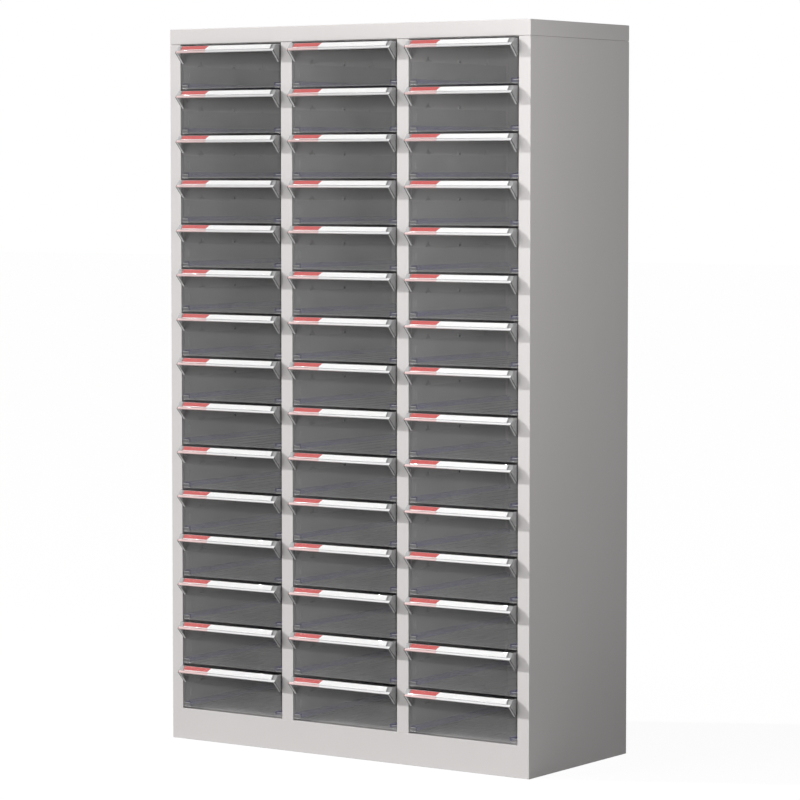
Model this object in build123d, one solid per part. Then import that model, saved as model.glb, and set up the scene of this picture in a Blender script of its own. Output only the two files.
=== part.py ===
from build123d import *
import math
import os

# Filing cabinet: a folded steel carcass with three bays of clear drawers on hung runners.
# Millimetres. X is the width, -Y the front, +Z up. The origin is the bottom centre of the whole.

# Grid of drawers, counted from the left and from the top
column_names = ["left", "middle", "right"]
row_count = 15

# Drawer front and the gaps round it
front_width = 228.8
front_height = 79.5
front_thickness = 2.5
front_side_gap = 2.5
front_row_gap = 3.5

# Drawer tray behind the front
tray_side_inset = 1.0
tray_depth = 312.0
tray_wall = 2.0
tray_floor = 2.0
tray_side_height = 72.0
step_height = 8.0
step_inset = 12.0
rib_count = 5
rib_pitch = 40.0
rib_width = 2.0
rib_height = 1.0
drawer_travel = 270.0

# Handle along the top of the front, with a triangular cheek at each end
handle_wall = 2.0
ledge_reach = 10.0
label_run = 6.5
label_drop = 9.0
lip_run = 3.0
lip_drop = 3.0
cheek_wall = 2.0
cheek_drop = 33.0
cheek_flange_width = 5.0
cheek_flange_wall = 1.5

# Label card and its clear cover on the sloping face of the handle
card_end_inset = 11.5
card_edge_margin = 0.9
card_height = 9.3
card_thickness = 0.3
cover_overlap = 1.0
cover_thickness = 0.7

# Carcass
outer_stile_width = 24.2
divider_width = 25.1
kick_height = 58.0
cap_band = 28.5
carcass_depth = 332.0
sheet = 0.8
fold_return = 15.0
back_recess = 2.5
back_panel_gap = 0.3

# Runners, hung from the bay walls by two hooks and held by one screw
runner_sheet = 1.0
runner_ledge = 13.5
runner_rear_gap = 14.0
running_gap = 0.3
hook_drop_from_top = 35.0
hook_depths = [62.0, 252.0]
hook_width = 12.0
hook_lip = 7.0
hook_wall_gap = 0.5
slot_length = 17.0
slot_height = 3.5
slot_gap_below_hook = 0.3
notch_width = 6.0
notch_height = 5.5
leg_gap_below_slot = 1.2

# Stops that keep an open drawer on its runners
stop_proud = 1.6
stop_length = 10.0
stop_low = 18.0
stop_high = 32.0
stop_play = 1.0

# Screws
runner_screw_depth = 163.0
runner_screw_radius = 1.25
runner_screw_head_radius = 2.5
runner_screw_head_height = 1.2
runner_screw_length = 6.0
screw_ear_width = 10.0
screw_ear_above = 5.0
back_screw_radius = 2.0
back_screw_head_radius = 4.0
back_screw_head_height = 2.0
back_screw_length = 8.0
back_screw_rows = 6
back_screw_edge = 30.0
screw_hole_play = 0.1

# Sizes that follow
opening_width = front_width + 2 * front_side_gap
row_pitch = front_height + front_row_gap
opening_height = row_count * row_pitch + front_row_gap
column_count = len(column_names)
column_pitch = opening_width + divider_width
carcass_width = 2 * outer_stile_width + (column_count - 1) * divider_width + column_count * opening_width
carcass_height = kick_height + opening_height + cap_band
handle_reach = ledge_reach + label_run + lip_run
half_width = carcass_width / 2
front_y = (handle_reach - carcass_depth) / 2
rear_y = front_y + carcass_depth
back_y = rear_y - back_recess
opening_top = kick_height + opening_height
deck_low = opening_top - sheet
side_top = deck_low
liner_x = half_width - outer_stile_width
tray_half = front_width / 2 - tray_side_inset
lower_half = tray_half - step_inset
runner_front = front_thickness + running_gap
runner_rear = carcass_depth - runner_rear_gap
runner_top = step_height - running_gap
hook_level = front_height - hook_drop_from_top
slot_low = hook_level - runner_sheet - slot_gap_below_hook
leg_top = slot_low - leg_gap_below_slot
stop_tab_rear = tray_depth - stop_length - drawer_travel - stop_play


def block(x_range, y_range, z_range):
    x0, x1 = sorted(x_range)
    y0, y1 = sorted(y_range)
    z0, z1 = sorted(z_range)
    centre = Pos((x0 + x1) / 2, (y0 + y1) / 2, (z0 + z1) / 2)
    return centre * Box(x1 - x0, y1 - y0, z1 - z0)


def pin_along_x(x_range, y, z, radius):
    x0, x1 = sorted(x_range)
    return Pos((x0 + x1) / 2, y, z) * Rot(0, 90, 0) * Cylinder(radius, x1 - x0)


def pin_along_y(x, y_range, z, radius):
    y0, y1 = sorted(y_range)
    return Pos(x, (y0 + y1) / 2, z) * Rot(90, 0, 0) * Cylinder(radius, y1 - y0)


def bent_strip(path, thickness):
    # Closed outline of a strip that follows the path, with its thickness on the left of it
    normals = []
    for (a0, b0), (a1, b1) in zip(path, path[1:]):
        length = math.hypot(a1 - a0, b1 - b0)
        normals.append(((b0 - b1) / length, (a1 - a0) / length))
    far_side = []
    for index, (a, b) in enumerate(path):
        before = normals[max(index - 1, 0)]
        after = normals[min(index, len(normals) - 1)]
        mitre = thickness / (1 + before[0] * after[0] + before[1] * after[1])
        far_side.append((a + mitre * (before[0] + after[0]), b + mitre * (before[1] + after[1])))
    return path + far_side[::-1]


def prism_along_x(outline_yz, x_range):
    x0, x1 = sorted(x_range)
    face = make_face(Polyline([(x0, y, z) for y, z in outline_yz], close=True))
    return extrude(face, x1 - x0, dir=(1, 0, 0))


def prism_along_y(outline_xz, y_range):
    y0, y1 = sorted(y_range)
    face = make_face(Polyline([(x, y0, z) for x, z in outline_xz], close=True))
    return extrude(face, y1 - y0, dir=(0, 1, 0))


def both_sides(shape):
    return [shape, mirror(shape, about=Plane.YZ)]


# Places in the grid

def bay_left_x(column):
    return -liner_x + column * column_pitch


def drawer_bottom_z(row):
    return kick_height + front_row_gap + (row_count - row) * row_pitch


# Drawer, drawn with its front face at y = 0, its bottom at z = 0 and its middle at x = 0

def handle_path():
    ledge_edge = (-ledge_reach, front_height)
    label_foot = (-ledge_reach - label_run, front_height - label_drop)
    lip_edge = (-handle_reach, front_height - label_drop - lip_drop)
    return [(0, front_height), ledge_edge, label_foot, lip_edge]


def drawer_body():
    wall_top = tray_side_height
    outer = [
        (-lower_half, 0),
        (lower_half, 0),
        (lower_half, step_height),
        (tray_half, step_height),
        (tray_half, wall_top),
        (-tray_half, wall_top),
        (-tray_half, step_height),
        (-lower_half, step_height),
    ]
    inner_low = lower_half - tray_wall
    inner_high = tray_half - tray_wall
    ledge_top = step_height + tray_floor
    inner = [
        (-inner_low, tray_floor),
        (inner_low, tray_floor),
        (inner_low, ledge_top),
        (inner_high, ledge_top),
        (inner_high, wall_top),
        (-inner_high, wall_top),
        (-inner_high, ledge_top),
        (-inner_low, ledge_top),
    ]
    shell = prism_along_y(outer, (front_thickness, tray_depth))
    shell -= prism_along_y(inner, (front_thickness, tray_depth - tray_wall))
    return shell


def floor_ribs():
    first = -(rib_count - 1) / 2 * rib_pitch
    ribs = []
    for index in range(rib_count):
        x = first + index * rib_pitch
        ribs.append(block(
            (x - rib_width / 2, x + rib_width / 2),
            (front_thickness, tray_depth - tray_wall),
            (tray_floor, tray_floor + rib_height),
        ))
    return ribs


def handle_pieces():
    half = front_width / 2
    path = handle_path()
    cheek_foot = (0, front_height - cheek_drop)
    grip = prism_along_x(bent_strip(path, handle_wall), (-half, half))
    cheek = prism_along_x(path + [cheek_foot], (half - cheek_wall, half))
    flange_outline = bent_strip([path[-1], cheek_foot], cheek_flange_wall)
    flange = prism_along_x(flange_outline, (half - cheek_flange_width, half))
    return [grip] + both_sides(cheek) + both_sides(flange)


def make_tray():
    half = front_width / 2
    front = block((-half, half), (0, front_thickness), (0, front_height))
    stop_ear = block(
        (tray_half, tray_half + stop_proud),
        (tray_depth - stop_length, tray_depth),
        (stop_low, stop_high),
    )
    return front + [drawer_body()] + floor_ribs() + handle_pieces() + both_sides(stop_ear)


def make_label():
    path = handle_path()
    slope = math.hypot(label_run, label_drop)
    down = (-label_run / slope, -label_drop / slope)
    out = (-label_drop / slope, label_run / slope)
    half = front_width / 2 - card_end_inset

    def edge(distance, lift):
        y = path[1][0] + down[0] * distance + out[0] * lift
        z = path[1][1] + down[1] * distance + out[1] * lift
        return (y, z)

    card_end = card_edge_margin + card_height
    card_line = [edge(card_edge_margin, 0), edge(card_end, 0)]
    cover_line = [edge(card_edge_margin, card_thickness), edge(card_end, card_thickness)]
    card = prism_along_x(bent_strip(card_line, -card_thickness), (-half, half))
    cover_half = half + cover_overlap
    cover = prism_along_x(bent_strip(cover_line, -cover_thickness), (-cover_half, cover_half))
    return [card, cover]


# Runner of a bay's left wall, drawn with the wall at x = 0 and the drawer's front and bottom at 0

def make_runner():
    lip_x = -(sheet + hook_wall_gap)
    pieces = [
        block((0, runner_ledge), (runner_front, runner_rear), (runner_top - runner_sheet, runner_top)),
        block(
            (runner_sheet, runner_sheet + stop_proud),
            (stop_tab_rear - stop_length, stop_tab_rear),
            (stop_low, stop_high),
        ),
        block(
            (0, runner_sheet),
            (runner_screw_depth - screw_ear_width / 2, runner_screw_depth + screw_ear_width / 2),
            (leg_top, hook_level + screw_ear_above),
        ),
    ]
    for depth in hook_depths:
        along = (depth - hook_width / 2, depth + hook_width / 2)
        pieces.append(block((0, runner_sheet), along, (leg_top, hook_level)))
        pieces.append(block((lip_x - runner_sheet, 0), along, (hook_level - runner_sheet, hook_level)))
        pieces.append(block((lip_x - runner_sheet, lip_x), along, (hook_level - hook_lip, hook_level)))
    leg = block((0, runner_sheet), (runner_front, runner_rear), (runner_top - runner_sheet, leg_top))
    screw_hole = pin_along_x(
        (-runner_sheet, 2 * runner_sheet), runner_screw_depth, hook_level, runner_screw_radius + screw_hole_play
    )
    return leg + pieces - screw_hole


def make_runner_screw():
    shank = pin_along_x(
        (runner_sheet - runner_screw_length, runner_sheet),
        runner_screw_depth,
        hook_level,
        runner_screw_radius,
    )
    head = pin_along_x(
        (runner_sheet, runner_sheet + runner_screw_head_height),
        runner_screw_depth,
        hook_level,
        runner_screw_head_radius,
    )
    return shank + head


def runner_places(column):
    left_x = bay_left_x(column)
    places = []
    for row in range(1, row_count + 1):
        z = drawer_bottom_z(row)
        places.append((Pos(left_x, front_y, z), False))
        places.append((Pos(left_x + opening_width, front_y, z), True))
    return places


def hang_on_walls(shape, column):
    left_shape, right_shape = both_sides(shape)
    return [place * (right_shape if right_hand else left_shape)
            for place, right_hand in runner_places(column)]


# Hook slots and screw holes of one bay wall, whose sheet lies between the two x values

def wall_cuts(x_range):
    x0, x1 = sorted(x_range)
    through = (x0 - sheet, x1 + sheet)
    cuts = []
    for row in range(1, row_count + 1):
        low = drawer_bottom_z(row) + slot_low
        for depth in hook_depths:
            y = front_y + depth
            cuts.append(block(
                through,
                (y - slot_length / 2, y + slot_length / 2),
                (low, low + slot_height),
            ))
            cuts.append(block(
                through,
                (y - notch_width / 2, y + notch_width / 2),
                (low, low + slot_height + notch_height),
            ))
        cuts.append(pin_along_x(
            through,
            front_y + runner_screw_depth,
            drawer_bottom_z(row) + hook_level,
            runner_screw_radius + screw_hole_play,
        ))
    return cuts


# Back panel screws

def back_screw_columns():
    side_x = half_width - sheet - fold_return / 2
    divider_xs = [bay_left_x(column) - divider_width / 2 for column in range(1, column_count)]
    return [-side_x] + divider_xs + [side_x]


def back_screw_heights():
    low = kick_height + back_screw_edge
    high = opening_top - back_screw_edge
    step = (high - low) / (back_screw_rows - 1)
    return [low + index * step for index in range(back_screw_rows)]


def back_screw_holes():
    holes = []
    for x in back_screw_columns():
        for z in back_screw_heights():
            reach = (back_y - back_screw_length, back_y + back_screw_head_height)
            holes.append(pin_along_y(x, reach, z, back_screw_radius + screw_hole_play))
    return holes


def make_back_screws():
    screws = []
    for x in back_screw_columns():
        for z in back_screw_heights():
            shank = pin_along_y(x, (back_y - back_screw_length, back_y), z, back_screw_radius)
            head = pin_along_y(x, (back_y, back_y + back_screw_head_height), z, back_screw_head_radius)
            screws.append(shank + head)
    return screws


# Sheet metal of the carcass

def make_top_cap():
    outer = block((-half_width, half_width), (front_y, rear_y), (opening_top, carcass_height))
    inner_x = half_width - sheet
    inner_y = (front_y + sheet, rear_y - sheet)
    hollow = block((-inner_x, inner_x), inner_y, (opening_top + sheet, carcass_height - sheet))
    mouth_x = half_width - fold_return
    mouth_y = (front_y + fold_return, rear_y - fold_return)
    mouth = block((-mouth_x, mouth_x), mouth_y, (opening_top, opening_top + sheet))
    return outer - hollow - mouth


def make_top_deck():
    inset = 2 * sheet
    return block(
        (inset - half_width, half_width - inset),
        (front_y + inset, rear_y - inset),
        (deck_low, opening_top),
    )


def make_side_panel():
    # Left panel: skin, front stile, and returns at the back, top and bottom
    skin_x = (-half_width, -half_width + sheet)
    return_x = (-half_width, -half_width + fold_return)
    inside_y = (front_y, back_y - 2 * sheet)
    skin = block(skin_x, (front_y, rear_y), (0, side_top))
    pieces = [
        block((-half_width, -liner_x), (front_y, front_y + sheet), (0, side_top)),
        block(return_x, (back_y - 2 * sheet, back_y - sheet), (0, side_top)),
        block(return_x, inside_y, (side_top - sheet, side_top)),
        block(return_x, inside_y, (0, sheet)),
    ]
    return skin + pieces - back_screw_holes()


def make_liner():
    # Left liner: bay wall with a flange behind the stile and one against the side panel's return
    wall_x = (-liner_x - sheet, -liner_x)
    flange_x = (-half_width + sheet, -liner_x)
    tall = (kick_height, side_top - sheet)
    wall = block(wall_x, (front_y + sheet, back_y - 2 * sheet), tall)
    flanges = [
        block(flange_x, (front_y + sheet, front_y + 2 * sheet), tall),
        block(flange_x, (back_y - 3 * sheet, back_y - 2 * sheet), tall),
    ]
    return wall + flanges - wall_cuts(wall_x) - back_screw_holes()


def make_divider(column):
    # Post between this bay and the next: front stile, two bay walls and a rear lip
    left_x = bay_left_x(column) + opening_width
    right_x = left_x + divider_width
    tall = (kick_height, side_top)
    stile = block((left_x, right_x), (front_y, front_y + sheet), tall)
    walls = [(left_x, left_x + sheet), (right_x - sheet, right_x)]
    pieces = [block(wall_x, (front_y, back_y - sheet), tall) for wall_x in walls]
    pieces.append(block((left_x, right_x - 2 * sheet), (back_y - 2 * sheet, back_y - sheet), tall))
    cuts = wall_cuts(walls[0]) + wall_cuts(walls[1])
    return stile + pieces - cuts - back_screw_holes()


def make_back_panel():
    panel_x = half_width - sheet - back_panel_gap
    panel = block((-panel_x, panel_x), (back_y - sheet, back_y), (0, side_top))
    return panel - back_screw_holes()


def make_base_pan():
    # Deck under the bays, folded down into the kick rail at the front and a flange at the back
    pan_rear = back_y - 2 * sheet
    kick = block((-liner_x, liner_x), (front_y, front_y + sheet), (0, kick_height))
    deck_x = half_width - sheet
    flange_x = half_width - fold_return
    pieces = [
        block((-liner_x, liner_x), (front_y, front_y + fold_return), (0, sheet)),
        block((-deck_x, deck_x), (front_y + sheet, pan_rear), (kick_height - sheet, kick_height)),
        block((-flange_x, flange_x), (pan_rear - sheet, pan_rear), (0, kick_height)),
    ]
    return kick + pieces


def save(name, solids):
    shape = solids[0] if len(solids) == 1 else Compound(children=solids)
    export_step(shape, f"parts/{name}.step")


def main():
    os.makedirs("parts", exist_ok=True)

    left_side, right_side = both_sides(make_side_panel())
    left_liner, right_liner = both_sides(make_liner())
    save("top_cap", [make_top_cap()])
    save("top_deck", [make_top_deck()])
    save("left_side_panel", [left_side])
    save("right_side_panel", [right_side])
    save("left_liner", [left_liner])
    save("right_liner", [right_liner])
    save("left_divider", [make_divider(0)])
    save("right_divider", [make_divider(1)])
    save("back_panel", [make_back_panel()])
    save("base_pan", [make_base_pan()])
    save("back_panel_screws", make_back_screws())

    runner = make_runner()
    runner_screw = make_runner_screw()
    runner_screws = []
    for column, column_name in enumerate(column_names):
        save(f"{column_name}_bay_runners", hang_on_walls(runner, column))
        runner_screws += hang_on_walls(runner_screw, column)
    save("runner_screws", runner_screws)

    drawer_solids = [make_tray()] + make_label()
    for column, column_name in enumerate(column_names):
        for row in range(1, row_count + 1):
            middle_x = bay_left_x(column) + opening_width / 2
            place = Pos(middle_x, front_y, drawer_bottom_z(row))
            save(f"drawer_{column_name}_{row:02d}", [place * solid for solid in drawer_solids])


main()
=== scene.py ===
import bmesh
import bpy
import math
from mathutils import Matrix, Vector


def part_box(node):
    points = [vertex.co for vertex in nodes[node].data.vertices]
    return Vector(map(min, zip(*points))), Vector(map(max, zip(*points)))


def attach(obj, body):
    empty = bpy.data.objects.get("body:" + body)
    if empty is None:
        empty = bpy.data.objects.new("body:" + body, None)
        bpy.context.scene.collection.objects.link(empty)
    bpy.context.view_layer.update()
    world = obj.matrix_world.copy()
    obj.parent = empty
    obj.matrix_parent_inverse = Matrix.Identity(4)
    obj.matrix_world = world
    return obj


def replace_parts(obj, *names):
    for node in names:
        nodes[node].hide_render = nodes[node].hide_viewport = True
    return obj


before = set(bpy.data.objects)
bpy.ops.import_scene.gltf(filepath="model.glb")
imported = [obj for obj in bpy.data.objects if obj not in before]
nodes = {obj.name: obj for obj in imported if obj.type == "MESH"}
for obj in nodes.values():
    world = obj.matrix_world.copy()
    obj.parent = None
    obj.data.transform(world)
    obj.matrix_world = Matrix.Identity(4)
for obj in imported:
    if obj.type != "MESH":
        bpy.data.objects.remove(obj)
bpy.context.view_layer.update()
scene = bpy.context.scene
mm = 0.001
drawerNames = sorted(name for name in nodes if name.startswith("drawer_"))
print("frame:", len(nodes), "nodes,", len(drawerNames), "drawers")


# Camera, fitted to the cabinet's corners in the photograph
photoCamera = {
    "place": (3.6318, -5.2102, 1.0683),
    "turn": 34.768,
    "tiltDown": 3.793,
    "lens": 154.43,
    "sensor": 36.0,
}


def addCamera(values):
    data = bpy.data.cameras.new("photoCamera")
    data.lens = values["lens"]
    data.sensor_width = values["sensor"]
    data.clip_start = 0.1
    data.clip_end = 100.0
    camera = bpy.data.objects.new("photoCamera", data)
    camera.location = values["place"]
    camera.rotation_euler = (math.radians(90 - values["tiltDown"]), 0, math.radians(values["turn"]))
    scene.collection.objects.link(camera)
    scene.camera = camera


addCamera(photoCamera)
print("camera placed")


# Shader helper: a node's output that does arithmetic
class Wire:
    def __init__(self, tree, socket=None):
        self.tree = tree
        self.socket = socket

    def make(self, kind, settings=None, inputs=None, output=0):
        node = self.tree.nodes.new(kind)
        for key, value in (settings or {}).items():
            setattr(node, key, value)
        for key, value in (inputs or {}).items():
            if isinstance(value, Wire):
                self.tree.links.new(value.socket, node.inputs[key])
            elif value is not None:
                node.inputs[key].default_value = value
        return Wire(self.tree, node.outputs[output]) if len(node.outputs) else None

    def maths(self, operation, first, second=None):
        return self.make("ShaderNodeMath", {"operation": operation}, {0: first, 1: second})

    def __add__(self, other):
        return self.maths("ADD", self, other)

    def __sub__(self, other):
        return self.maths("SUBTRACT", self, other)

    def __rsub__(self, other):
        return self.maths("SUBTRACT", other, self)

    def __mul__(self, other):
        return self.maths("MULTIPLY", self, other)

    def __pow__(self, other):
        return self.maths("POWER", self, other)

    __radd__ = __add__
    __rmul__ = __mul__

    def mixColour(self, low, high):
        # self is the share of the second colour
        return self.make("ShaderNodeMix", {"data_type": "RGBA"}, {0: self, 6: low, 7: high}, output=2)


def newMaterial(name):
    material = bpy.data.materials.new(name)
    material.use_nodes = True
    material.node_tree.nodes.clear()
    return material, Wire(material.node_tree)


def finishMaterial(graph, shader):
    graph.make("ShaderNodeOutputMaterial", inputs={"Surface": shader})


def noiseAt(graph, coordinates, scale, detail=2.0, roughness=0.5):
    return graph.make(
        "ShaderNodeTexNoise",
        inputs={"Vector": coordinates, "Scale": scale, "Detail": detail, "Roughness": roughness},
    )


def bumpOf(graph, height, strength, depth):
    return graph.make("ShaderNodeBump", inputs={"Strength": strength, "Distance": depth, "Height": height})


def objectCoordinates(graph):
    return graph.make("ShaderNodeTexCoord", output="Object")


def rayIs(graph, kind):
    return graph.make("ShaderNodeLightPath", output=f"Is {kind} Ray")


def seenRays(graph):
    # what the camera sees by itself, in gloss and through glass
    return rayIs(graph, "Camera") + rayIs(graph, "Glossy") + rayIs(graph, "Transmission")


def colour(red, green, blue):
    return (red, green, blue, 1.0)


# Powder coated steel: fine orange peel, faint mottling, small changes of gloss
steelPaint = {
    "light": colour(0.745, 0.716, 0.708),
    "dark": colour(0.710, 0.682, 0.674),
    "cloudScale": 5.0,
    "peelScale": 620.0,
    "peelStrength": 0.10,
    "peelDepth": 0.0003,
    "smearScale": 45.0,
    "roughLow": 0.40,
    "roughSpread": 0.10,
}


def paintMaterial(name, values):
    material, graph = newMaterial(name)
    where = objectCoordinates(graph)
    cloud = noiseAt(graph, where, values["cloudScale"], 3.0)
    peel = noiseAt(graph, where, values["peelScale"], 2.0)
    smear = noiseAt(graph, where, values["smearScale"], 4.0, 0.6)
    finishMaterial(graph, graph.make("ShaderNodeBsdfPrincipled", inputs={
        "Base Color": cloud.mixColour(values["light"], values["dark"]),
        "Roughness": smear * values["roughSpread"] + values["roughLow"],
        "Normal": bumpOf(graph, peel, values["peelStrength"], values["peelDepth"]),
    }))
    return material


runnerPaint = dict(
    steelPaint,
    light=colour(0.60, 0.59, 0.60),
    dark=colour(0.52, 0.515, 0.53),
    peelStrength=0.06,
)


# Zinc plated screws: brushed and slightly yellowed at the back, near black on the runners
zincPlate = {
    "light": colour(0.70, 0.70, 0.69),
    "dark": colour(0.55, 0.54, 0.50),
    "scale": 260.0,
    "metal": 1.0,
    "roughLow": 0.22,
    "roughSpread": 0.25,
}
nearBlackScrew = dict(
    zincPlate,
    light=colour(0.030, 0.030, 0.032),
    dark=colour(0.018, 0.018, 0.018),
    metal=0.0,
)


def plateMaterial(name, values):
    material, graph = newMaterial(name)
    where = objectCoordinates(graph)
    patch = noiseAt(graph, where, values["scale"], 4.0, 0.6)
    finishMaterial(graph, graph.make("ShaderNodeBsdfPrincipled", inputs={
        "Base Color": patch.mixColour(values["light"], values["dark"]),
        "Metallic": values["metal"],
        "Roughness": patch * values["roughSpread"] + values["roughLow"],
    }))
    return material


# Clear moulded plastic: see-through, with a little haze, glossy, and painted dark where its faces turn
# away: a painted shade for light bent away at its edges
clearPlastic = {
    "haze": 0.018,
    "edgeHaze": 0.36,
    "edgePower": 3.0,
    "blocking": 0.09,
    "tint": colour(0.98, 0.98, 0.98),
    "body": colour(0.88, 0.88, 0.88),
    "edge": colour(0.12, 0.12, 0.13),
    "roughness": 0.10,
    "index": 2.6,
    "flowScale": 22.0,
    "flowStrength": 0.05,
    "flowDepth": 0.001,
    "streak": 0.02,
}
frontPlastic = dict(clearPlastic, haze=0.084, blocking=0.12, tint=colour(1.0, 1.0, 1.0), streak=0.03)
handleClear = dict(
    clearPlastic,
    haze=0.34,
    edgeHaze=0.60,
    edgePower=2.0,
    blocking=0.45,
    body=colour(0.93, 0.93, 0.93),
    edge=colour(0.10, 0.10, 0.105),
    roughness=0.07,
)
ledgeBlue = dict(
    clearPlastic,
    haze=0.46,
    tint=colour(0.60, 0.58, 0.90),
    body=colour(0.29, 0.27, 0.72),
    edge=colour(0.12, 0.11, 0.34),
)
# the lip painted almost white: a painted highlight along the handle's lower edge
lipPaintedHighlight = dict(handleClear, haze=0.96, edgeHaze=0.04, body=colour(0.97, 0.97, 0.97), index=1.8)
# under the red block the lip is painted pink: a painted reflection of the red card seen in the clear lip
lipPaintedRedReflection = dict(lipPaintedHighlight, body=colour(0.97, 0.68, 0.67))
# near-black plastic: painted shade on the top faces of the front and the ledge, and a painted dark outline
# at the outer end of each flange
paintedShadePlastic = dict(
    clearPlastic,
    haze=0.96,
    edgeHaze=0.04,
    body=colour(0.012, 0.012, 0.013),
    edge=colour(0.008, 0.008, 0.008),
    index=1.1,
    streak=0.0,
)
# bright hazy plastic: a painted highlight on the front's foot band and on the tops of the floor ribs
paintedHighlightPlastic = dict(
    clearPlastic,
    haze=0.20,
    edgeHaze=0.40,
    body=colour(0.95, 0.95, 0.95),
    edge=colour(0.6, 0.6, 0.6),
)
coverPlastic = dict(
    clearPlastic,
    haze=0.015,
    edgeHaze=0.35,
    blocking=0.0,
    tint=colour(0.99, 0.99, 0.99),
    body=colour(0.95, 0.95, 0.95),
    roughness=0.04,
)


def plasticMaterial(name, values):
    material, graph = newMaterial(name)
    where = objectCoordinates(graph)
    flow = noiseAt(graph, where, values["flowScale"], 2.0)
    facing = graph.make("ShaderNodeLayerWeight", inputs={"Blend": 0.5}, output="Facing")
    amount = facing ** values["edgePower"] * values["edgeHaze"] + values["haze"]
    amount = amount + (flow - 0.5) * values["streak"]
    # painted shade: the colour goes dark where the faces turn away from the view
    body = (facing ** 2.0).mixColour(values["body"], values["edge"])
    if values["blocking"] > 0:
        # bent light leaves its way, so light that only passes through is weaker than the view; for bounced
        # light the plastic is also painted black, a painted shade that darkens the insides of the drawers
        # and the gaps between them
        bounced = rayIs(graph, "Diffuse")
        amount = amount + (rayIs(graph, "Shadow") + bounced) * values["blocking"]
        body = bounced.mixColour(body, colour(0, 0, 0))
    clear = graph.make("ShaderNodeBsdfTransparent", inputs={"Color": values["tint"]})
    surface = graph.make("ShaderNodeBsdfPrincipled", inputs={
        "Base Color": body,
        "Roughness": values["roughness"],
        "IOR": values["index"],
        "Normal": bumpOf(graph, flow, values["flowStrength"], values["flowDepth"]),
    })
    finishMaterial(graph, graph.make("ShaderNodeMixShader", inputs={0: amount, 1: clear, 2: surface}))
    return material


# Printed label card: paper fibre in its colour and surface
cardPaper = {"fibreScale": 900.0, "fibreStrength": 0.15, "fibreDepth": 0.0002, "roughness": 0.62}
cardWhite = dict(cardPaper, light=colour(0.93, 0.93, 0.925), dark=colour(0.88, 0.88, 0.87))
cardRed = dict(cardPaper, light=colour(0.60, 0.055, 0.050), dark=colour(0.52, 0.040, 0.038))


def cardMaterial(name, values):
    material, graph = newMaterial(name)
    where = objectCoordinates(graph)
    fibre = noiseAt(graph, where, values["fibreScale"], 5.0, 0.7)
    finishMaterial(graph, graph.make("ShaderNodeBsdfPrincipled", inputs={
        "Base Color": fibre.mixColour(values["light"], values["dark"]),
        "Roughness": values["roughness"],
        "Normal": bumpOf(graph, fibre, values["fibreStrength"], values["fibreDepth"]),
    }))
    return material


steel = paintMaterial("cabinetPaint", steelPaint)
runnerSteel = paintMaterial("runnerPaint", runnerPaint)
zinc = plateMaterial("zincPlate", zincPlate)
screwBlack = plateMaterial("nearBlackScrew", nearBlackScrew)
trayPlastics = {
    "clear": plasticMaterial("clearPlastic", clearPlastic),
    "handle": plasticMaterial("handleClear", handleClear),
    "ledge": plasticMaterial("ledgeBlue", ledgeBlue),
    "front": plasticMaterial("frontPlastic", frontPlastic),
    # painted highlight on the lip
    "lip": plasticMaterial("lipPaintedHighlight", lipPaintedHighlight),
    # painted reflection of the red card in the lip
    "redReflection": plasticMaterial("lipPaintedRedReflection", lipPaintedRedReflection),
    # painted shade
    "dark": plasticMaterial("paintedShadePlastic", paintedShadePlastic),
    # painted highlight
    "light": plasticMaterial("paintedHighlightPlastic", paintedHighlightPlastic),
}
plasticNames = list(trayPlastics)
coverClear = plasticMaterial("coverPlastic", coverPlastic)
whiteCard = cardMaterial("whiteCard", cardWhite)
redCard = cardMaterial("redCard", cardRed)
print("materials made")


# Mesh helpers

def meshObject(name, mesh):
    thing = bpy.data.objects.new(name, mesh)
    scene.collection.objects.link(thing)
    return thing


def meshFrom(name, bm, materials=()):
    mesh = bpy.data.meshes.new(name)
    bm.to_mesh(mesh)
    bm.free()
    for material in materials:
        mesh.materials.append(material)
    return mesh


def objectFrom(name, bm):
    return meshObject(name, meshFrom(name, bm))


def loftRings(bm, rings):
    # Closed solid through rings of equal count, with a flat cap at each end
    loops = [[bm.verts.new(point) for point in ring] for ring in rings]
    count = len(loops[0])
    for low, high in zip(loops, loops[1:]):
        for i in range(count):
            j = (i + 1) % count
            bm.faces.new((low[i], low[j], high[j], high[i]))
    bm.faces.new(list(reversed(loops[0])))
    bm.faces.new(loops[-1])
    bmesh.ops.recalc_face_normals(bm, faces=bm.faces)


def prismAlongX(outline, x0, x1, soften=0.0):
    # outline is a list of (y, z); soften rounds every sharp edge
    bm = bmesh.new()
    loftRings(bm, [[(x, y, z) for y, z in outline] for x in (x0, x1)])
    softenEdges(bm, soften)
    return bm


def softenEdges(bm, width, segments=2, sharpAngle=35):
    if width <= 0:
        return
    sharp = [edge for edge in bm.edges
             if len(edge.link_faces) == 2 and edge.calc_face_angle() > math.radians(sharpAngle)]
    bmesh.ops.bevel(bm, geom=sharp, offset=width, segments=segments, profile=0.5,
                    affect="EDGES", clamp_overlap=True)


def splitAt(bm, place, normal):
    # cuts the faces along a plane and keeps both halves
    geometry = list(bm.verts) + list(bm.edges) + list(bm.faces)
    bmesh.ops.bisect_plane(bm, geom=geometry, dist=0.00001, plane_co=place, plane_no=normal)
    return bm


def boxSolid(low, high, soften=0.0):
    bm = bmesh.new()
    size = Vector(high) - Vector(low)
    place = Matrix.Translation((Vector(high) + Vector(low)) / 2) @ Matrix.Diagonal((*size, 1))
    bmesh.ops.create_cube(bm, size=1.0, matrix=place)
    softenEdges(bm, soften)
    return bm


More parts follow.
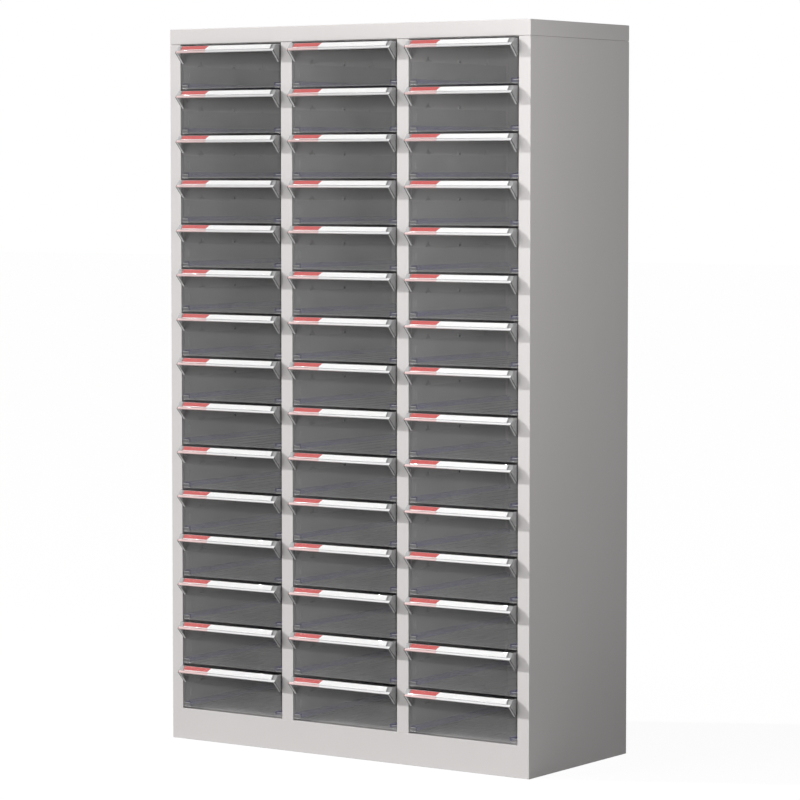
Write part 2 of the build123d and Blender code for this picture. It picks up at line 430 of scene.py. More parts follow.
def roundedPath(points, radii, steps=4):
    # Two-dimensional path whose inner corners become arcs of the given radii
    path = [Vector(points[0])]
    for before, corner, after, radius in zip(points, points[1:], points[2:], radii):
        corner = Vector(corner)
        toBefore = (Vector(before) - corner).normalized()
        toAfter = (Vector(after) - corner).normalized()
        half = toBefore.angle(toAfter) / 2
        reach = radius / math.tan(half)
        centre = corner + (toBefore + toAfter).normalized() * (radius / math.sin(half))
        start = corner + toBefore * reach - centre
        sweep = start.angle_signed(corner + toAfter * reach - centre)
        for step in range(steps + 1):
            path.append(centre + Matrix.Rotation(-sweep * step / steps, 2) @ start)
    path.append(Vector(points[-1]))
    return path


def bentStrip(path, thickness):
    # Closed outline of a strip along the path, with its thickness on the left
    normals = []
    for a, b in zip(path, path[1:]):
        along = (b - a).normalized()
        normals.append(Vector((-along.y, along.x)))
    far = []
    for i, point in enumerate(path):
        before = normals[max(i - 1, 0)]
        after = normals[min(i, len(normals) - 1)]
        far.append(point + (before + after) * (thickness / (1 + before.dot(after))))
    return [tuple(p) for p in path] + [tuple(p) for p in reversed(far)]


def uniteSolids(name, solids):
    # One closed mesh from overlapping closed solids
    parts = [objectFrom(f"{name}Part{i}", bm) for i, bm in enumerate(solids)]
    group = bpy.data.collections.new(name + "Parts")
    for part in parts[1:]:
        group.objects.link(part)
    union = parts[0].modifiers.new("union", "BOOLEAN")
    union.operation = "UNION"
    union.operand_type = "COLLECTION"
    union.collection = group
    union.solver = "EXACT"
    view = bpy.context.evaluated_depsgraph_get()
    mesh = bpy.data.meshes.new_from_object(parts[0].evaluated_get(view))
    mesh.name = name
    for part in parts:
        bpy.data.objects.remove(part)
    bpy.data.collections.remove(group)
    return mesh


def shadeByAngle(mesh, degrees=32):
    mesh.shade_smooth()
    mesh.set_sharp_from_angle(angle=math.radians(degrees))


def placedCopy(template, name, place, body):
    mesh = template.copy()
    mesh.name = name
    mesh.transform(Matrix.Translation(place))
    thing = meshObject(name, mesh)
    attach(thing, body)
    return thing


# Drawer tray: sizes in millimetres, drawn with its front at y = 0, its bottom at z = 0, its middle at x = 0
trayValues = {
    "handleReach": 19.5,
    "frontWall": 2.5,
    "frontHeight": 79.5,
    # height of the front's foot band, which takes a painted highlight
    "footBand": 2.0,
    "lift": 0.05,
    "frontOverhang": 1.0,
    "wall": 2.0,
    "floor": 2.0,
    "sideHeight": 72.0,
    "stepHeight": 8.0,
    "stepInset": 12.0,
    "bottomRadius": 2.4,
    "stepRadius": 1.2,
    "floorRadius": 2.6,
    "rimProud": 0.8,
    "rimHeight": 3.0,
    "rimRadius": 0.9,
    "rimEaseBack": 0.3,
    "rimEaseDown": 0.4,
    "backCorner": 6.0,
    "frontCorner": 0.6,
    "edge": 0.5,
    "stopProud": 1.6,
    "stopLength": 10.0,
    "stopLow": 18.0,
    "stopHigh": 32.0,
    "stopBack": 0.3,
    "embed": 0.4,
}
sampleLow, sampleHigh = (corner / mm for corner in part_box(drawerNames[0]))
trayHalf = (sampleHigh.x - sampleLow.x) / 2 - trayValues["stopProud"]
frontHalf = trayHalf + trayValues["frontOverhang"]
frontHeight = trayValues["frontHeight"]
trayDepth = sampleHigh.y - sampleLow.y - trayValues["handleReach"]
lowerHalf = trayHalf - trayValues["stepInset"]


def trayRing(halfX, yFront, yBack, z, frontCorner, backCorner, steps=4):
    # Level outline with rounded corners, from the right front corner round by the back
    corners = [
        (halfX, yFront, frontCorner, -90),
        (halfX, yBack, backCorner, 0),
        (-halfX, yBack, backCorner, 90),
        (-halfX, yFront, frontCorner, 180),
    ]
    ring = []
    for x, y, radius, start in corners:
        centreX = x - math.copysign(radius, x)
        centreY = y + radius if y == yFront else y - radius
        for step in range(steps + 1):
            angle = math.radians(start + 90 * step / steps)
            ring.append((centreX + radius * math.cos(angle), centreY + radius * math.sin(angle), z))
    return ring


def quarterTurn(radius, steps=4):
    # (inset, rise) pairs of a convex corner, from its foot to its side
    turns = [math.radians(90 * step / steps) for step in range(steps + 1)]
    return [(radius * (1 - math.sin(turn)), radius * (1 - math.cos(turn))) for turn in turns]


def trayShell(v):
    outerFront = v["embed"]
    innerFront = v["frontWall"] - v["embed"] * 1.5
    rimFoot = v["sideHeight"] - v["rimHeight"]
    rings = []

    def addOuter(halfX, z, backOut=0.0):
        rings.append(trayRing(halfX, outerFront, trayDepth + backOut, z, v["frontCorner"], v["backCorner"]))

    def addInner(halfX, z, backInset=0.0):
        back = trayDepth - v["wall"] - backInset
        corner = v["backCorner"] - v["wall"]
        rings.append(trayRing(halfX, innerFront, back, z, v["frontCorner"], corner))

    for inset, rise in quarterTurn(v["bottomRadius"]):
        addOuter(lowerHalf - inset, max(rise, v["lift"]), -inset)
    for inset, rise in reversed(quarterTurn(v["stepRadius"])):
        addOuter(lowerHalf + inset, v["stepHeight"] - rise)
    for inset, rise in quarterTurn(v["stepRadius"]):
        addOuter(trayHalf - inset, v["stepHeight"] + rise)
    addOuter(trayHalf, rimFoot - v["rimProud"])
    addOuter(trayHalf + v["rimProud"], rimFoot)
    for inset, rise in reversed(quarterTurn(v["rimRadius"])):
        addOuter(trayHalf + v["rimProud"] - inset, v["sideHeight"] - rise)
    innerHigh = trayHalf - v["wall"]
    innerLow = lowerHalf - v["wall"]
    ledgeTop = v["stepHeight"] + v["floor"]
    addInner(innerHigh, v["sideHeight"], -v["rimEaseBack"])
    addInner(innerHigh, v["sideHeight"] - v["rimEaseDown"])
    for inset, rise in reversed(quarterTurn(v["stepRadius"])):
        addInner(innerHigh - inset, ledgeTop + rise)
    for inset, rise in quarterTurn(v["stepRadius"]):
        addInner(innerLow + inset, ledgeTop - rise)
    for inset, rise in reversed(quarterTurn(v["floorRadius"])):
        addInner(innerLow - inset, v["floor"] + rise, inset)
    bm = bmesh.new()
    loftRings(bm, rings)
    return bm


# Handle: ledge, sloping label face, lip and end cheeks, in millimetres
handleValues = {
    "wall": 2.0,
    "ledgeReach": 10.0,
    "labelRun": 6.5,
    "labelDrop": 9.0,
    "lipDrop": 3.0,
    "ledgeRadius": 1.6,
    "footRadius": 3.0,
    # width of the painted dark outline at the outer end of each flange
    "outline": 1.3,
    "below": 0.1,
    "cheekWall": 2.0,
    "cheekDrop": 33.0,
    "gripSunk": 0.6,
    "flangeWidth": 5.0,
    "flangeWall": 1.5,
    "flangeStart": 0.3,
    "flangePast": 0.8,
    "railWall": 0.9,
    "railProud": 1.2,
    "railSunk": 0.3,
    "railPast": 0.5,
    "railPlay": 0.1,
    "railEdge": 0.2,
    "stopTop": 0.9,
    "stopWall": 1.4,
    "stopPlay": 0.2,
    "edge": 0.35,
    "skin": 0.12,
}
cardValues = {
    "endInset": 11.5,
    "edgeMargin": 0.9,
    "height": 9.3,
    "lift": 0.02,
    "thickness": 0.3,
    "coverGap": 0.03,
    "coverOverlap": 1.0,
    "coverThickness": 0.7,
    "coverCrown": 0.25,
    "coverSteps": 6,
    "coverEdge": 0.12,
    "redTop": 0.30,
    "redFoot": 0.27,
    "redHeight": 0.86,
}
cardHalf = frontHalf - cardValues["endInset"]
# halfway along the red block's slanted end
redEnd = -cardHalf + (cardValues["redTop"] + cardValues["redFoot"]) * cardHalf


def handlePoints(h):
    # Corners (y, z) of the handle's outer face, from the drawer's front to the lip
    top = frontHeight - h["below"]
    return [
        (trayValues["embed"] * 2, top),
        (-h["ledgeReach"], top),
        (-h["ledgeReach"] - h["labelRun"], top - h["labelDrop"]),
        (-trayValues["handleReach"], top - h["labelDrop"] - h["lipDrop"]),
    ]


def onLabelFace(distance, lift):
    # Point (y, z) on the sloping face: distance down from its upper edge, lift out of it
    h = handleValues
    slope = Vector((-h["labelRun"], -h["labelDrop"])).normalized()
    out = Vector((slope.y, -slope.x))
    return Vector(handlePoints(h)[1]) + slope * distance + out * lift


def raisedStrip(h, near, far):
    # Outline of a strip that stands on the label face between two distances down it
    ends = [onLabelFace(near, -h["railSunk"]), onLabelFace(far, -h["railSunk"])]
    return bentStrip(ends, -h["railProud"] - h["railSunk"])


def handleSolids(h):
    points = handlePoints(h)
    path = roundedPath(points, (h["ledgeRadius"], h["footRadius"]))
    outer = frontHalf - h["skin"]
    inner = frontHalf - h["cheekWall"]
    sunk = bentStrip(path, h["skin"])[len(path):]
    cheekOutline = sunk[::-1] + [(trayValues["embed"] * 2, frontHeight - h["cheekDrop"])]
    lip, foot = Vector(points[-1]), Vector((0.0, frontHeight - h["cheekDrop"]))
    along = (foot - lip).normalized()
    inwards = Vector((-along.y, along.x)) * h["skin"] * 2
    flangeEnds = [lip + inwards + along * h["flangeStart"], foot + inwards + along * h["flangePast"]]
    flangeOutline = bentStrip(flangeEnds, h["flangeWall"])
    flangeInner = frontHalf - h["flangeWidth"]
    stopHalf = cardHalf + cardValues["coverOverlap"] + h["stopPlay"]
    endStop = raisedStrip(h, h["stopTop"], math.hypot(h["labelRun"], h["labelDrop"]))
    grip = prismAlongX(bentStrip(path, h["wall"]), -inner - h["gripSunk"], inner + h["gripSunk"])
    # the grip is cut where the red block ends, so the lip's painted red reflection stops there
    solids = [splitAt(grip, (redEnd, 0, 0), (1, 0, 0))]
    for side in (-1, 1):
        solids.append(sidePrism(cheekOutline, side, inner, outer, h["edge"]))
        # the flange is cut near its outer end, so that strip takes the painted dark outline
        flange = sidePrism(flangeOutline, side, flangeInner, outer - h["edge"] * 2, h["edge"])
        solids.append(splitAt(flange, (side * (outer - h["outline"]), 0, 0), (1, 0, 0)))
        solids.append(sidePrism(endStop, side, stopHalf, stopHalf + h["stopWall"], h["railEdge"]))
    railTop = cardValues["edgeMargin"] + cardValues["height"] + h["railPlay"]
    railHalf = stopHalf + h["railPast"]
    rail = prismAlongX(raisedStrip(h, railTop, railTop + h["railWall"]), -railHalf, railHalf, h["railEdge"])
    # the rail is cut there too, for the painted red reflection
    solids.append(splitAt(rail, (redEnd, 0, 0), (1, 0, 0)))
    return solids


def sidePrism(outline, side, near, far, soften):
    # Prism between two distances from the middle, on the given side
    return prismAlongX(outline, min(side * near, side * far), max(side * near, side * far), soften)


def traySolids(v):
    front = boxSolid((-frontHalf, 0, 0), (frontHalf, v["frontWall"], frontHeight), v["edge"])
    # the front is cut at the top of its foot band, which takes a painted highlight
    solids = [splitAt(front, (0, 0, v["footBand"]), (0, 0, 1)), trayShell(v)]
    for side in (-1, 1):
        near = side * (trayHalf - v["embed"])
        far = side * (trayHalf + v["stopProud"])
        low = (min(near, far), trayDepth - v["stopLength"], v["stopLow"])
        high = (max(near, far), trayDepth - v["stopBack"], v["stopHigh"])
        solids.append(boxSolid(low, high, v["edge"]))
    return solids


# Floor ribs: a geometry nodes row of half-sunk rods
ribValues = {"Count": 5, "Pitch": 40.0, "Radius": 1.0, "Sides": 10}


class Growing:
    # a geometry nodes tree under construction
    def __init__(self, name, numbers):
        self.tree = bpy.data.node_groups.new(name, "GeometryNodeTree")
        self.tree.is_modifier = True
        face = self.tree.interface
        face.new_socket("Geometry", in_out="INPUT", socket_type="NodeSocketGeometry")
        face.new_socket("Geometry", in_out="OUTPUT", socket_type="NodeSocketGeometry")
        for label, kind in numbers.items():
            face.new_socket(label, in_out="INPUT", socket_type=kind)
        self.start = self.tree.nodes.new("NodeGroupInput")
        self.end = self.tree.nodes.new("NodeGroupOutput")

    def make(self, kind, settings=None, inputs=None):
        node = self.tree.nodes.new(kind)
        for key, value in (settings or {}).items():
            setattr(node, key, value)
        for key, value in (inputs or {}).items():
            if isinstance(value, bpy.types.NodeSocket):
                self.tree.links.new(value, node.inputs[key])
            else:
                node.inputs[key].default_value = value
        return node.outputs

    def maths(self, operation, *values):
        return self.make("ShaderNodeMath", {"operation": operation}, dict(enumerate(values)))[0]

    def along(self, axis, value):
        return self.make("ShaderNodeCombineXYZ", inputs={axis: value})[0]

    def given(self, label):
        return self.start.outputs[label]

    def close(self, geometry):
        self.tree.links.new(geometry, self.end.inputs["Geometry"])
        return self.tree


def grow(tree, name, values, base=None):
    # Runs the tree on a mesh with the named inputs set, and returns the plain mesh
    holder = meshObject(name, base or bpy.data.meshes.new(name + "Base"))
    modifier = holder.modifiers.new("grow", "NODES")
    modifier.node_group = tree
    for item in tree.interface.items_tree:
        if item.in_out == "INPUT" and item.name in values:
            modifier[item.identifier] = values[item.name]
    view = bpy.context.evaluated_depsgraph_get()
    mesh = bpy.data.meshes.new_from_object(holder.evaluated_get(view))
    mesh.name = name
    bpy.data.objects.remove(holder)
    return mesh


def ribTree():
    g = Growing("floorRibs", {
        "Count": "NodeSocketInt", "Pitch": "NodeSocketFloat", "Radius": "NodeSocketFloat",
        "Sides": "NodeSocketInt", "Length": "NodeSocketFloat", "Finish": "NodeSocketMaterial",
    })
    # the first rod stands half of the row, less half a pitch, to the left
    halfRow = g.maths("MULTIPLY", g.maths("MULTIPLY", g.given("Count"), g.given("Pitch")), -0.5)
    first = g.maths("MULTIPLY_ADD", g.given("Pitch"), 0.5, halfRow)
    row = g.make("GeometryNodeMeshLine", inputs={
        "Count": g.given("Count"),
        "Start Location": g.along("X", first),
        "Offset": g.along("X", g.given("Pitch")),
    })[0]
    line = g.make("GeometryNodeCurvePrimitiveLine", inputs={"End": g.along("Y", g.given("Length"))})[0]
    ring = g.make("GeometryNodeCurvePrimitiveCircle", inputs={
        "Resolution": g.given("Sides"), "Radius": g.given("Radius")})[0]
    rod = g.make("GeometryNodeCurveToMesh", inputs={
        "Curve": line, "Profile Curve": ring, "Fill Caps": True})[0]
    rods = g.make("GeometryNodeInstanceOnPoints", inputs={"Points": row, "Instance": rod})[0]
    whole = g.make("GeometryNodeRealizeInstances", inputs={"Geometry": rods})[0]
    return g.close(g.make("GeometryNodeSetMaterial", inputs={
        "Geometry": whole, "Material": g.given("Finish")})[0])


def ribSolid(v, ribs):
    start = v["frontWall"] - v["embed"] / 2
    length = trayDepth - v["wall"] + v["embed"] - start
    # the rods start in the painted-highlight plastic
    mesh = grow(ribTree(), "ribRow", {**ribs, "Length": length, "Finish": trayPlastics["light"]})
    bm = bmesh.new()
    bm.from_mesh(mesh)
    bmesh.ops.translate(bm, verts=bm.verts, vec=(0, start, v["floor"]))
    bmesh.ops.recalc_face_normals(bm, faces=bm.faces)
    bpy.data.meshes.remove(mesh)
    return bm


# Where each plastic begins on the tray: margins in millimetres, shares of a height, leans of a normal
zoneValues = {
    "handleMargin": 0.05,
    "frontMargin": 0.01,
    "topMargin": 1.0,
    "flangeMargin": 0.1,
    "outlineMargin": 0.05,
    "cheekMargin": 0.7,
    "lipShare": 0.86,
    "ribLow": 0.15,
    "ribHigh": 1.2,
    "ribMargin": 1.0,
    "ledgeShare": 0.3,
    "ledgeMargin": 0.3,
    "sideLean": 0.8,
    "topLean": 0.95,
    "frontLean": 0.2,
    "ribLean": 0.1,
}


def plasticOf(face):
    # Name of the plastic that a face of the tray takes
    v, h, z = trayValues, handleValues, zoneValues
    centre, normal = face.center, face.normal
    across = abs(centre.x)
    onTop = normal.z > z["topLean"] and centre.z > frontHeight - z["topMargin"]
    if centre.y < -z["handleMargin"]:
        lipTop = frontHeight - h["labelDrop"] * z["lipShare"]
        onFlange = across > frontHalf - h["flangeWidth"] - z["flangeMargin"] and centre.z < lipTop
        if abs(normal.x) > z["sideLean"]:
            return "handle"
        # painted shade: a near-black strip at the outer end of each flange
        if onFlange and across > frontHalf - h["skin"] - h["outline"] - z["outlineMargin"]:
            return "dark"
        # painted shade on the ledge's top
        if onTop and across < frontHalf - h["cheekWall"] - z["cheekMargin"]:
            return "dark"
        # painted highlight on the flange's front faces
        if onFlange and normal.y < -z["frontLean"]:
            return "lip"
        # the lip's front faces take a painted highlight, and under the red block a painted reflection of
        # the red card
        if centre.z < lipTop and normal.y < -z["frontLean"]:
            return "redReflection" if -cardHalf < centre.x < redEnd else "lip"
        return "handle"
    if centre.y < v["frontWall"] + z["frontMargin"]:
        # painted highlight along the front's foot band
        if centre.z < v["footBand"]:
            return "light"
        # painted shade on the front's top faces
        return "dark" if onTop else "front"
    ribEnd = lowerHalf - v["wall"] - v["floorRadius"] - z["ribMargin"]
    # painted highlight on the tops of the floor ribs
    if v["floor"] + z["ribLow"] < centre.z < v["floor"] + z["ribHigh"] and across < ribEnd:
        return "light" if normal.z > z["ribLean"] else "clear"
    inLedge = v["stepHeight"] * z["ledgeShare"] < centre.z < v["stepHeight"] + v["floor"] + v["stepRadius"]
    return "ledge" if inLedge and across > lowerHalf - v["wall"] - z["ledgeMargin"] else "clear"


def trayTemplate():
    solids = traySolids(trayValues) + [ribSolid(trayValues, ribValues)] + handleSolids(handleValues)
    mesh = uniteSolids("trayTemplate", solids)
    mesh.materials.clear()
    for name in plasticNames:
        mesh.materials.append(trayPlastics[name])
    for face in mesh.polygons:
        face.material_index = plasticNames.index(plasticOf(face))
    mesh.transform(Matrix.Scale(mm, 4))
    shadeByAngle(mesh)
    return mesh


def cardTemplate(c):
    # White card with a red block at its left that ends on a slant and stops short of the card's foot
    topRed = -cardHalf + c["redTop"] * 2 * cardHalf
    footRed = -cardHalf + c["redFoot"] * 2 * cardHalf
    top, foot = c["edgeMargin"], c["edgeMargin"] + c["height"]
    redLine = top + c["redHeight"] * c["height"]
    outline = [(-cardHalf, top), (topRed, top), (cardHalf, top)]
    outline += [(cardHalf, foot), (-cardHalf, foot), (-cardHalf, redLine)]
    corners = outline + [(footRed, redLine)]
    bm = bmesh.new()
    layers = []
    for lift in (c["lift"], c["thickness"]):
        ring = []
        for x, distance in corners:
            y, z = onLabelFace(distance, lift)
            ring.append(bm.verts.new((x * mm, y * mm, z * mm)))
        layers.append(ring)
    for ring in layers:
        bm.faces.new([ring[i] for i in (0, 1, 6, 5)]).material_index = 1
        bm.faces.new([ring[i] for i in (1, 2, 3, 4, 5, 6)]).material_index = 0
    for i in range(len(outline)):
        j = (i + 1) % len(outline)
        side = bm.faces.new((layers[0][i], layers[0][j], layers[1][j], layers[1][i]))
        side.material_index = 1 if i in (0, 5) else 0
    bmesh.ops.recalc_face_normals(bm, faces=bm.faces)
    return meshFrom("cardTemplate", bm, [whiteCard, redCard])


def coverTemplate(c):
    # Clear strip over the card, slightly crowned across its height
    half = cardHalf + c["coverOverlap"]
    top, foot = c["edgeMargin"], c["edgeMargin"] + c["height"]
    under = c["thickness"] + c["coverGap"]
    outline = [tuple(onLabelFace(top, under)), tuple(onLabelFace(foot, under))]
    for step in range(c["coverSteps"] + 1):
        share = step / c["coverSteps"]
        crown = c["coverCrown"] * math.sin(math.pi * share)
        lift = under + c["coverThickness"] - c["coverCrown"] + crown
        outline.append(tuple(onLabelFace(foot + (top - foot) * share, lift)))
    bm = prismAlongX(outline, -half, half, c["coverEdge"])
    bmesh.ops.scale(bm, vec=(mm, mm, mm), verts=bm.verts)
    mesh = meshFrom("coverTemplate", bm, [coverClear])
    shadeByAngle(mesh)
    return mesh


def addDrawers():
    tray = trayTemplate()
    card = cardTemplate(cardValues)
    cover = coverTemplate(cardValues)
    print("drawer template:", len(tray.polygons), "faces")
    for name in drawerNames:
        low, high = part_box(name)
        place = ((low.x + high.x) / 2, low.y + trayValues["handleReach"] * mm, low.z)
        label = name[len("drawer_"):]
        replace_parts(placedCopy(tray, "tray_" + label, place, name), name)
        placedCopy(card, "label_card_" + label, place, name)
        placedCopy(cover, "label_cover_" + label, place, name)


addDrawers()
print("drawers made")


# Sheet steel: the CAD sheets with real fold radii
foldValues = {
    "outerRadius": 1.2,
    "innerShare": 0.34,
    "edgeShare": 0.16,
    "narrow": 2.0,
    "short": 100.0,
    "flatAngle": 1,
    "foldAngle": 30,
    "segments": 3,
}


def weldedCopy(nodeName):
    # The loose triangles of a CAD node, joined
    bm = bmesh.new()
    bm.from_mesh(nodes[nodeName].data)
    bmesh.ops.remove_doubles(bm, verts=bm.verts, dist=0.02 * mm)
    return bm


def foldedSheet(name, f):
    # Copy of a sheet node with its long, wide folds rounded and its cut edges barely broken
    bm = weldedCopy(name)
    bmesh.ops.dissolve_limit(bm, angle_limit=math.radians(f["flatAngle"]), verts=bm.verts, edges=bm.edges)
    weights = bm.edges.layers.float.new("bevel_weight_edge")
    for edge in bm.edges:
        if len(edge.link_faces) != 2 or edge.calc_face_angle() < math.radians(f["foldAngle"]):
            continue
        narrow = min(faceWidth(face, edge) for face in edge.link_faces) < f["narrow"] * mm
        if narrow or edge.calc_length() < f["short"] * mm:
            edge[weights] = f["edgeShare"]
        else:
            edge[weights] = 1.0 if edge.is_convex else f["innerShare"]
    thing = meshObject(name + "_sheet", meshFrom(name + "Folded", bm, [steel]))
    bevel = thing.modifiers.new("folds", "BEVEL")
    bevel.limit_method = "WEIGHT"
    bevel.width = f["outerRadius"] * mm
    bevel.segments = f["segments"]
    bevel.harden_normals = True
    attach(thing, "cabinet")
    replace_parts(thing, name)


def faceWidth(face, edge):
    # How far the face reaches from the edge
    start = edge.verts[0].co
    along = (edge.verts[1].co - start).normalized()
    reach = 0.0
    for vert in face.verts:
        offset = vert.co - start
        reach = max(reach, (offset - along * offset.dot(along)).length)
    return reach


for sheetName in ("top_cap", "left_side_panel", "right_side_panel", "left_divider", "right_divider",
                  "left_liner", "right_liner", "base_pan"):
    foldedSheet(sheetName, foldValues)

for flatName in ("top_deck", "back_panel"):
    nodes[flatName].data.materials[0] = steel
for bay in ("left", "middle", "right"):
    nodes[bay + "_bay_runners"].data.materials[0] = runnerSteel
print("sheet steel made")


# Screws: a small domed head with a cross recess, set on the CAD screws' places by geometry nodes
screwValues = {
    "sides": 12,
    "dome": [(1.0, 0.0), (1.0, 0.35), (0.86, 0.75), (0.6, 0.95)],  # shares of the head's radius and height
    "crossArm": 0.62,
    "crossWidth": 0.16,
    "crossDepth": 0.45,
    "crossTop": 1.96,
    "backHead": 2.0,
    "runnerHead": 1.2,
    "runnerShank": 1.25,
    "smoothAngle": 40,
}


def screwTemplate(name, radius, height, shankRadius, shankLength):
    # Head towards +Y, its underside at y = 0
    s = screwValues
    turns = [2 * math.pi * i / s["sides"] for i in range(s["sides"])]
    profile = [(shankRadius, -shankLength), (shankRadius, 0.0)]
    profile += [(radius * wide, height * tall) for wide, tall in s["dome"]]
    bm = bmesh.new()
    loftRings(bm, [[(r * math.cos(a), y, r * math.sin(a)) for a in turns] for r, y in profile])
    body = objectFrom(name, bm)
    arm = radius * s["crossArm"]
    half = radius * s["crossWidth"]
    bottom = height * (1 - s["crossDepth"])
    top = height * s["crossTop"]
    cutters = []
    for x, z in ((arm, half), (half, arm)):
        cutters.append(objectFrom(name + "Cutter", boxSolid((-x, bottom, -z), (x, top, z))))
    for cutter in cutters:
        cut = body.modifiers.new("cross", "BOOLEAN")
        cut.object = cutter
        cut.operation = "DIFFERENCE"
        cut.solver = "EXACT"
    view = bpy.context.evaluated_depsgraph_get()
    result = bpy.data.meshes.new_from_object(body.evaluated_get(view))
    for thing in [body] + cutters:
        bpy.data.objects.remove(thing)
    result.materials.clear()
    return meshObject(name, result)


def solidBoxes(nodeName):
    # Lowest and highest corner of each separate solid of a CAD node
    bm = weldedCopy(nodeName)
    seen, found = set(), []
    for vert in bm.verts:
        if vert in seen:
            continue
        stack, island = [vert], []
        seen.add(vert)
        while stack:
            current = stack.pop()
            island.append(current.co.copy())
            for edge in current.link_edges:
                other = edge.other_vert(current)
                if other not in seen:
                    seen.add(other)
                    stack.append(other)
        low = Vector(min(p[i] for p in island) for i in range(3))
        high = Vector(max(p[i] for p in island) for i in range(3))
        found.append((low, high))
    bm.free()
    return found


def screwTree():
    g = Growing("screwRow", {
        "Screw": "NodeSocketObject", "Turn": "NodeSocketFloat", "Finish": "NodeSocketMaterial",
    })
    shape = g.make("GeometryNodeObjectInfo", inputs={"Object": g.given("Screw")})["Geometry"]
    rotation = g.make("FunctionNodeEulerToRotation", inputs={"Euler": g.along("Z", g.given("Turn"))})[0]
    placed = g.make("GeometryNodeInstanceOnPoints", inputs={
        "Points": g.given("Geometry"), "Instance": shape, "Rotation": rotation})[0]
    whole = g.make("GeometryNodeRealizeInstances", inputs={"Geometry": placed})[0]
    return g.close(g.make("GeometryNodeSetMaterial", inputs={
        "Geometry": whole, "Material": g.given("Finish")})[0])


def addScrews(tree, name, template, places, turn, node, finish):
    points = bpy.data.meshes.new(name + "Points")
    points.from_pydata([tuple(p) for p in places], [], [])
    mesh = grow(tree, name, {"Screw": template, "Turn": turn, "Finish": finish}, points)
    shadeByAngle(mesh, screwValues["smoothAngle"])
    thing = meshObject(name, mesh)
    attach(thing, "cabinet")
    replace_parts(thing, node)


def addAllScrews():
    tree = screwTree()
    backBoxes = solidBoxes("back_panel_screws")
    size = backBoxes[0][1] - backBoxes[0][0]
    headRadius = size.x / 2
    headHeight = screwValues["backHead"] * mm
    shank = size.y - headHeight
    backScrew = screwTemplate("backScrew", headRadius, headHeight, headRadius / 2, shank)
    places = [Vector(((lo.x + hi.x) / 2, hi.y - headHeight, (lo.z + hi.z) / 2)) for lo, hi in backBoxes]
    addScrews(tree, "back_screws", backScrew, places, 0.0, "back_panel_screws", zinc)
    runnerBoxes = solidBoxes("runner_screws")
    size = runnerBoxes[0][1] - runnerBoxes[0][0]
    headHeight = screwValues["runnerHead"] * mm
    shankRadius = screwValues["runnerShank"] * mm
    runnerScrew = screwTemplate("runnerScrew", size.y / 2, headHeight, shankRadius, size.x - headHeight)
    facingRight, facingLeft = [], []
    for (lo, hi), onLeftWall in zip(runnerBoxes, bayWallSides(runnerBoxes)):
        x = hi.x - headHeight if onLeftWall else lo.x + headHeight
        place = Vector((x, (lo.y + hi.y) / 2, (lo.z + hi.z) / 2))
        (facingRight if onLeftWall else facingLeft).append(place)
    for side, found, turn in (("left", facingRight, -math.pi / 2), ("right", facingLeft, math.pi / 2)):
        name = "runner_screws_" + side
        addScrews(tree, name, runnerScrew, found, turn, "runner_screws", screwBlack)
    for template in (backScrew, runnerScrew):
        bpy.data.objects.remove(template)


def bayWallSides(boxes):
    # True for a screw in a bay's left wall: the nearest drawer's middle lies to its right
    middles = sorted({round(sum(c.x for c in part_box(name)) / 2, 4) for name in drawerNames})
    sides = []
    for lo, hi in boxes:
        x = (lo.x + hi.x) / 2
        nearest = min(middles, key=lambda middle: abs(middle - x))
        sides.append(nearest > x)
    return sides


addAllScrews()
print("screws made")


# Floor, world and lamps
stageValues = {
    "floorHalf": 30.0,
    "floorLight": colour(0.42, 0.42, 0.42),
    "floorDark": colour(0.405, 0.405, 0.405),
    "floorGrain": 3.0,
    "floorWhite": 0.80,
    "floorGlow": 1.19,
    "ambient": 0.10,
    "clearLayers": 32,
    "keyTurn": 62.0,
    "keyRise": 28.0,
    "keyStrength": 2.45,
    "keySoftness": 1.0,
    "fills": [
        {
            "name": "frontFill",
            "power": 64.0,
            "place": (-1.75, -3.4, 2.6),
            "aim": (0, 0, 0.67),
            "size": 2.2,
            "tall": 2.2,
        },
        {
            "name": "sideFill",
            "power": 5.0,
            "place": (1.0, -0.78, 1.2),
            "aim": (0.4, -0.05, 0.95),
            "size": 0.4,
            "tall": 1.6,
        },
    ],
}


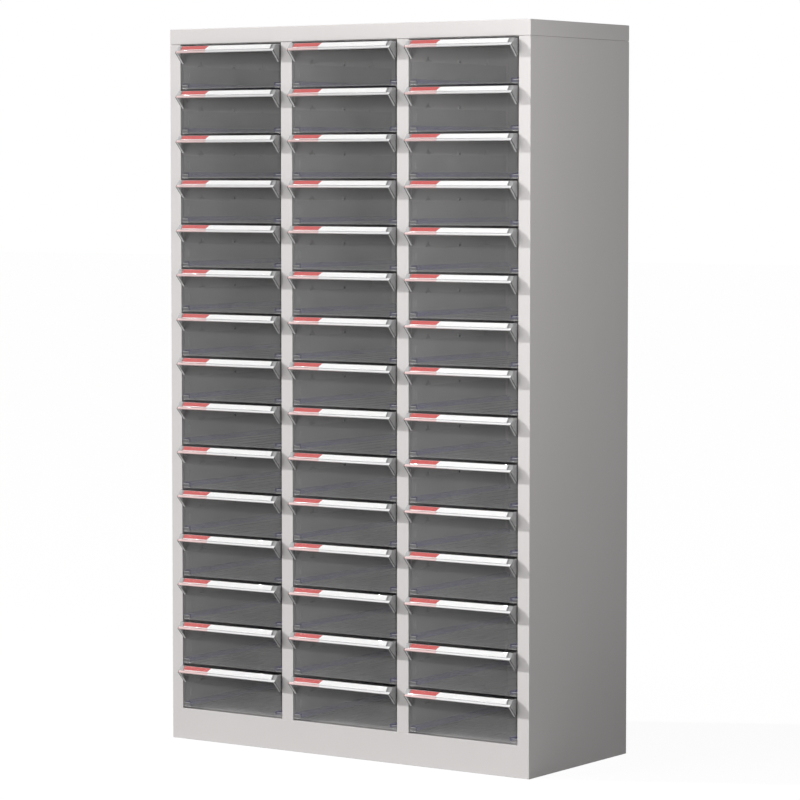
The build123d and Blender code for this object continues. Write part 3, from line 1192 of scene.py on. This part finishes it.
def addFloor(s):
    half = s["floorHalf"]
    mesh = bpy.data.meshes.new("floor")
    mesh.from_pydata([(-half, -half, 0), (half, -half, 0), (half, half, 0), (-half, half, 0)],
                     [], [(0, 1, 2, 3)])
    material, graph = newMaterial("paleFloor")
    grain = noiseAt(graph, objectCoordinates(graph), s["floorGrain"], 3.0)
    seen = seenRays(graph) * s["floorWhite"]
    base = grain.mixColour(s["floorLight"], s["floorDark"])
    matte = graph.make("ShaderNodeBsdfDiffuse", inputs={"Color": base})
    glow = graph.make("ShaderNodeEmission", inputs={"Color": colour(1, 1, 1), "Strength": s["floorGlow"]})
    finishMaterial(graph, graph.make("ShaderNodeMixShader", inputs={0: seen, 1: matte, 2: glow}))
    mesh.materials.append(material)
    meshObject("floor", mesh)


def addWorld(s):
    world = bpy.data.worlds.new("studio")
    world.use_nodes = True
    world.node_tree.nodes.clear()
    graph = Wire(world.node_tree)
    seen = graph.maths("MINIMUM", seenRays(graph), 1.0)
    strength = seen * (1 - s["ambient"]) + s["ambient"]
    sky = graph.make("ShaderNodeBackground", inputs={"Color": colour(1, 1, 1), "Strength": strength})
    graph.make("ShaderNodeOutputWorld", inputs={"Surface": sky})
    scene.world = world


def addLamps(s):
    key = bpy.data.lights.new("key", "SUN")
    key.energy = s["keyStrength"]
    key.angle = math.radians(s["keySoftness"])
    lamp = bpy.data.objects.new("key", key)
    rise, turn = math.radians(s["keyRise"]), math.radians(s["keyTurn"])
    towards = Vector((-math.sin(turn) * math.cos(rise), -math.cos(turn) * math.cos(rise), math.sin(rise)))
    lamp.rotation_euler = (-towards).to_track_quat("-Z", "Y").to_euler()
    scene.collection.objects.link(lamp)
    for values in s["fills"]:
        fill = bpy.data.lights.new(values["name"], "AREA")
        fill.energy = values["power"]
        fill.shape = "RECTANGLE"
        fill.size = values["size"]
        fill.size_y = values["tall"]
        lamp = bpy.data.objects.new(values["name"], fill)
        lamp.location = values["place"]
        lamp.visible_camera = False
        aim = Vector(values["aim"]) - Vector(values["place"])
        lamp.rotation_euler = aim.to_track_quat("-Z", "Y").to_euler()
        scene.collection.objects.link(lamp)


addFloor(stageValues)
addWorld(stageValues)
addLamps(stageValues)
scene.cycles.transparent_max_bounces = stageValues["clearLayers"]
scene.view_settings.view_transform = "Standard"
print("stage lit")
